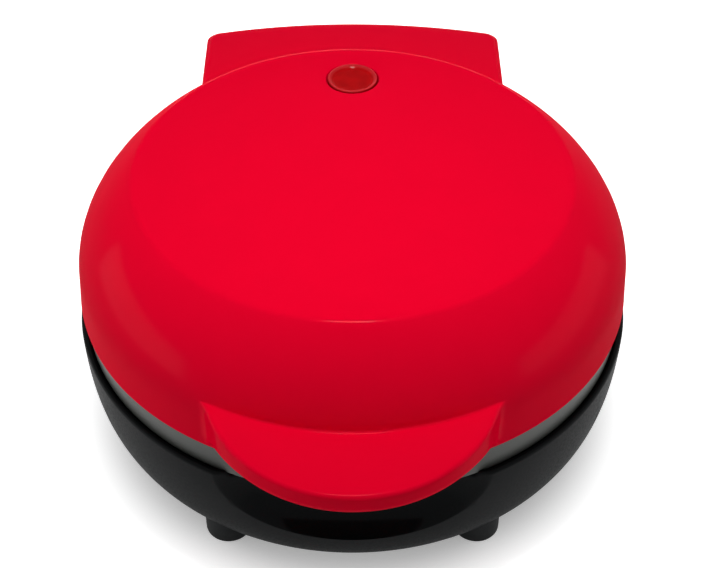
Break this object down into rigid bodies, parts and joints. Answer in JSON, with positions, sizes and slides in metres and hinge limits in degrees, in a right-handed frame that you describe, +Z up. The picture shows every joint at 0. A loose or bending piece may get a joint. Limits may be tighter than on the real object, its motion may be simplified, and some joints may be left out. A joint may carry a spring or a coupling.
{
  "type": "mini griddle",
  "caption": "Small round countertop griddle with a hinged domed lid, lifting tab, indicator lens, finger scoop and a bowl-shaped base on rubber feet.",
  "frame": {"origin": "on the table plane under the centre of the box round the closed griddle, which is the centre of the round body", "axes": "+Z up; +Y towards the hinge at the back, the lifting tab points to -Y; +X to the right of someone who faces the tab"},
  "size_m": [0.1458, 0.1774, 0.0775],
  "materials": {
    "red_housing": "bright red moulded plastic, smooth and glossy",
    "black_housing": "charcoal black moulded plastic, satin",
    "plate_coating": "cast aluminium with a dark non-stick coating",
    "element_steel": "sheathed heating element, heat-dulled",
    "shield_steel": "pressed bright steel sheet",
    "fastener_steel": "zinc-plated steel",
    "foot_rubber": "black rubber",
    "dark_nylon": "black nylon",
    "white_nylon": "white nylon",
    "lens_red": "translucent deep red lens",
    "lamp_glass": "clear glass",
    "fuse_sleeve": "woven glass-fibre sleeve"
  },
  "bodies": {
    "base": {"base_housing": "black_housing", "foot_front_left": "foot_rubber", "foot_front_right": "foot_rubber", "foot_rear_left": "foot_rubber", "foot_rear_right": "foot_rubber", "lower_griddle_plate": "plate_coating", "lower_heating_element": "element_steel", "lower_heat_shield": "shield_steel", "lower_plate_screw_1": "fastener_steel", "lower_plate_screw_2": "fastener_steel", "lower_plate_screw_3": "fastener_steel", "thermostat": "dark_nylon", "thermostat_bracket": "shield_steel", "thermostat_screw_1": "fastener_steel", "thermostat_screw_2": "fastener_steel", "thermal_fuse": "fuse_sleeve", "fuse_clip": "shield_steel", "terminal_block": "white_nylon", "terminal_block_screw": "fastener_steel", "cord_gland": "dark_nylon", "hinge_pin_right": "fastener_steel", "hinge_pin_left": "fastener_steel"},
    "lid": {"lid_housing": "red_housing", "upper_griddle_plate": "plate_coating", "upper_heating_element": "element_steel", "upper_heat_shield": "shield_steel", "upper_plate_screw_1": "fastener_steel", "upper_plate_screw_2": "fastener_steel", "upper_plate_screw_3": "fastener_steel", "upper_shield_screw_1": "fastener_steel", "upper_shield_screw_2": "fastener_steel", "upper_shield_screw_3": "fastener_steel", "indicator_lens": "lens_red", "indicator_lamp": "lamp_glass", "lamp_holder": "dark_nylon", "lamp_holder_screw_1": "fastener_steel", "lamp_holder_screw_2": "fastener_steel"}
  },
  "joints": [
    {"name": "lid_hinge", "type": "hinge", "parent": "base", "child": "lid", "pos_m": [0, 0.077, 0.041], "axis": [-1, 0, 0], "range_deg": [0, 95]}
  ]
}
